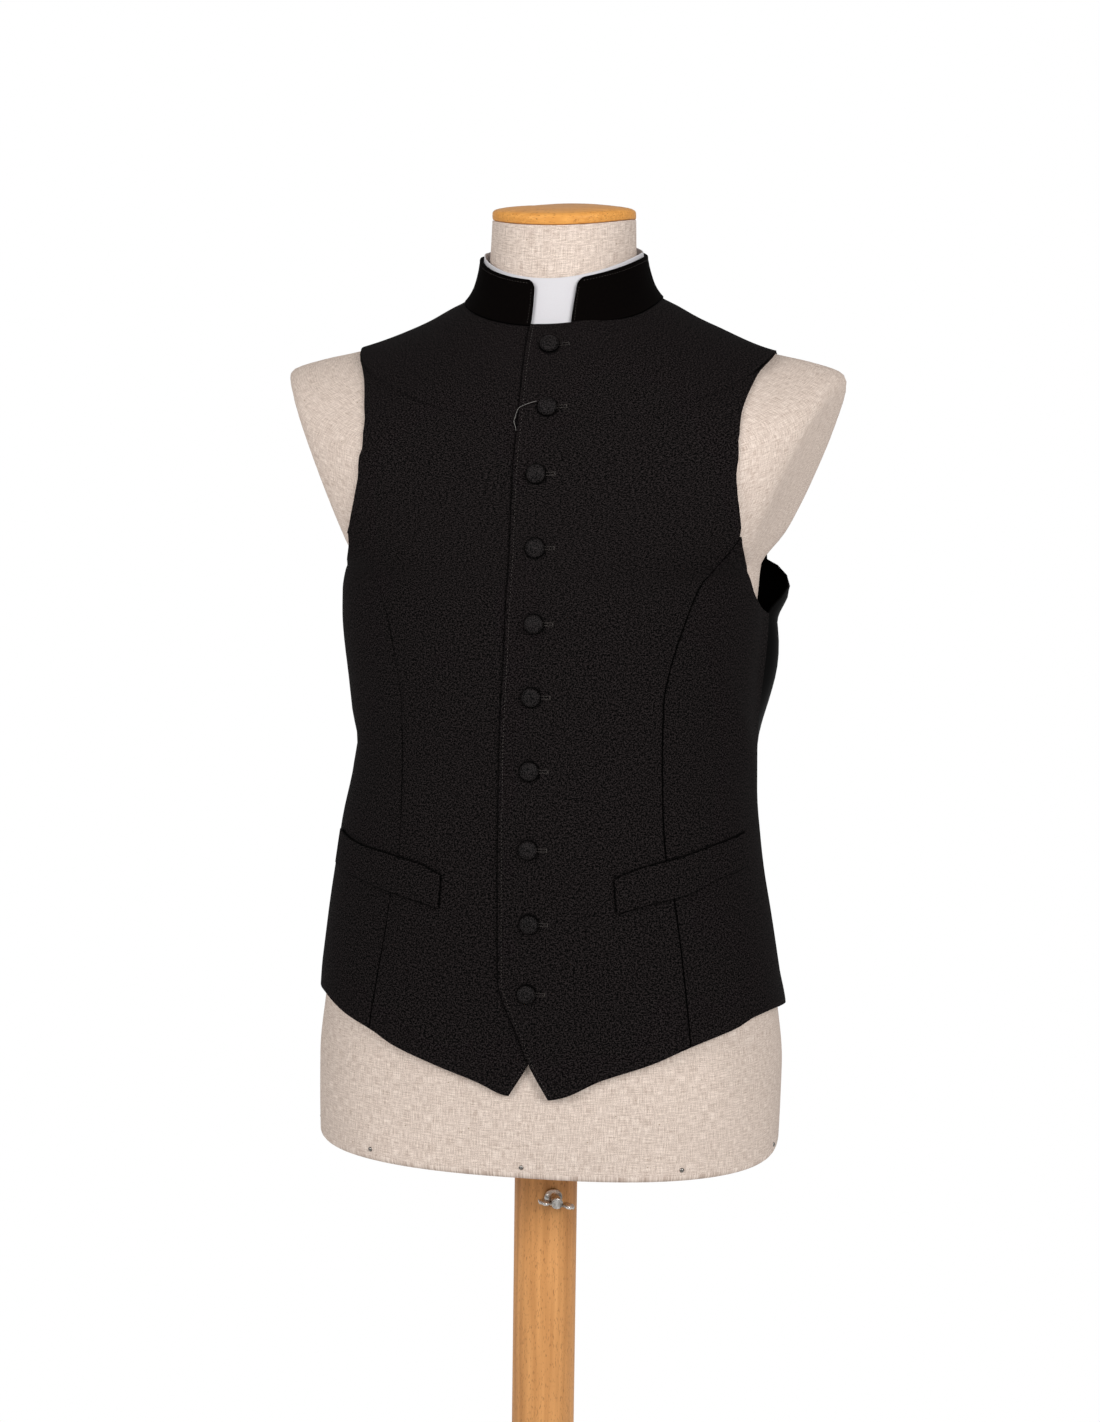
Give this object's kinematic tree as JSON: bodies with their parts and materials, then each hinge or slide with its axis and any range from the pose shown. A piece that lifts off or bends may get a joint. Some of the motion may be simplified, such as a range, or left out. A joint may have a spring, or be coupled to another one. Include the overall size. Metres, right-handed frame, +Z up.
{
  "type": "clergy vest on dress form",
  "caption": "Men's clergy vest with a standing collar and white clerical collar, buttoned on a limbless linen dress form with a neck cap, pole and round foot.",
  "frame": {"origin": "on the floor, at the middle of the foot's underside, which is on the pole's axis", "axes": "+Z up along the pole, the vest's front faces -Y, the wearer's left is +X"},
  "size_m": [0.4695, 0.38, 1.4092],
  "materials": {
    "wool": "fine black wool suiting, matte",
    "satin": "black satin, soft sheen",
    "white_cotton": "stiffened white cotton, smooth",
    "button_cloth": "black cloth drawn over a button",
    "linen": "natural linen stretched over a hard core",
    "varnished_beech": "turned beech, clear varnish",
    "beech": "turned beech, satin oil",
    "steel": "zinc-plated steel"
  },
  "bodies": {
    "stand": {"foot": "beech", "pole": "beech"},
    "rod": {"rod": "steel"},
    "bust": {"form_torso": "linen", "neck_cap": "varnished_beech", "front_left_centre": "wool", "front_left_side": "wool", "front_right_centre": "wool", "front_right_side": "wool", "welt_left": "wool", "welt_right": "wool", "collar_band": "wool", "back_left": "satin", "back_right": "satin", "white_collar": "white_cotton", "button_01": "button_cloth", "button_02": "button_cloth", "button_03": "button_cloth", "button_04": "button_cloth", "button_05": "button_cloth", "button_06": "button_cloth", "button_07": "button_cloth", "button_08": "button_cloth", "button_09": "button_cloth", "button_10": "button_cloth"},
    "screw": {"wing_screw": "steel"}
  },
  "joints": [
    {"name": "height", "type": "slide", "parent": "stand", "child": "rod", "axis": [0, 0, 1], "range_m": [0, 0.2]},
    {"name": "swivel", "type": "hinge", "parent": "rod", "child": "bust", "pos_m": [0, 0, 0.65], "axis": [0, 0, 1], "continuous": true},
    {"name": "screw_turn", "type": "hinge", "parent": "stand", "child": "screw", "pos_m": [0, 0, 0.5755], "axis": [0.3746, -0.9272, 0], "continuous": true}
  ]
}
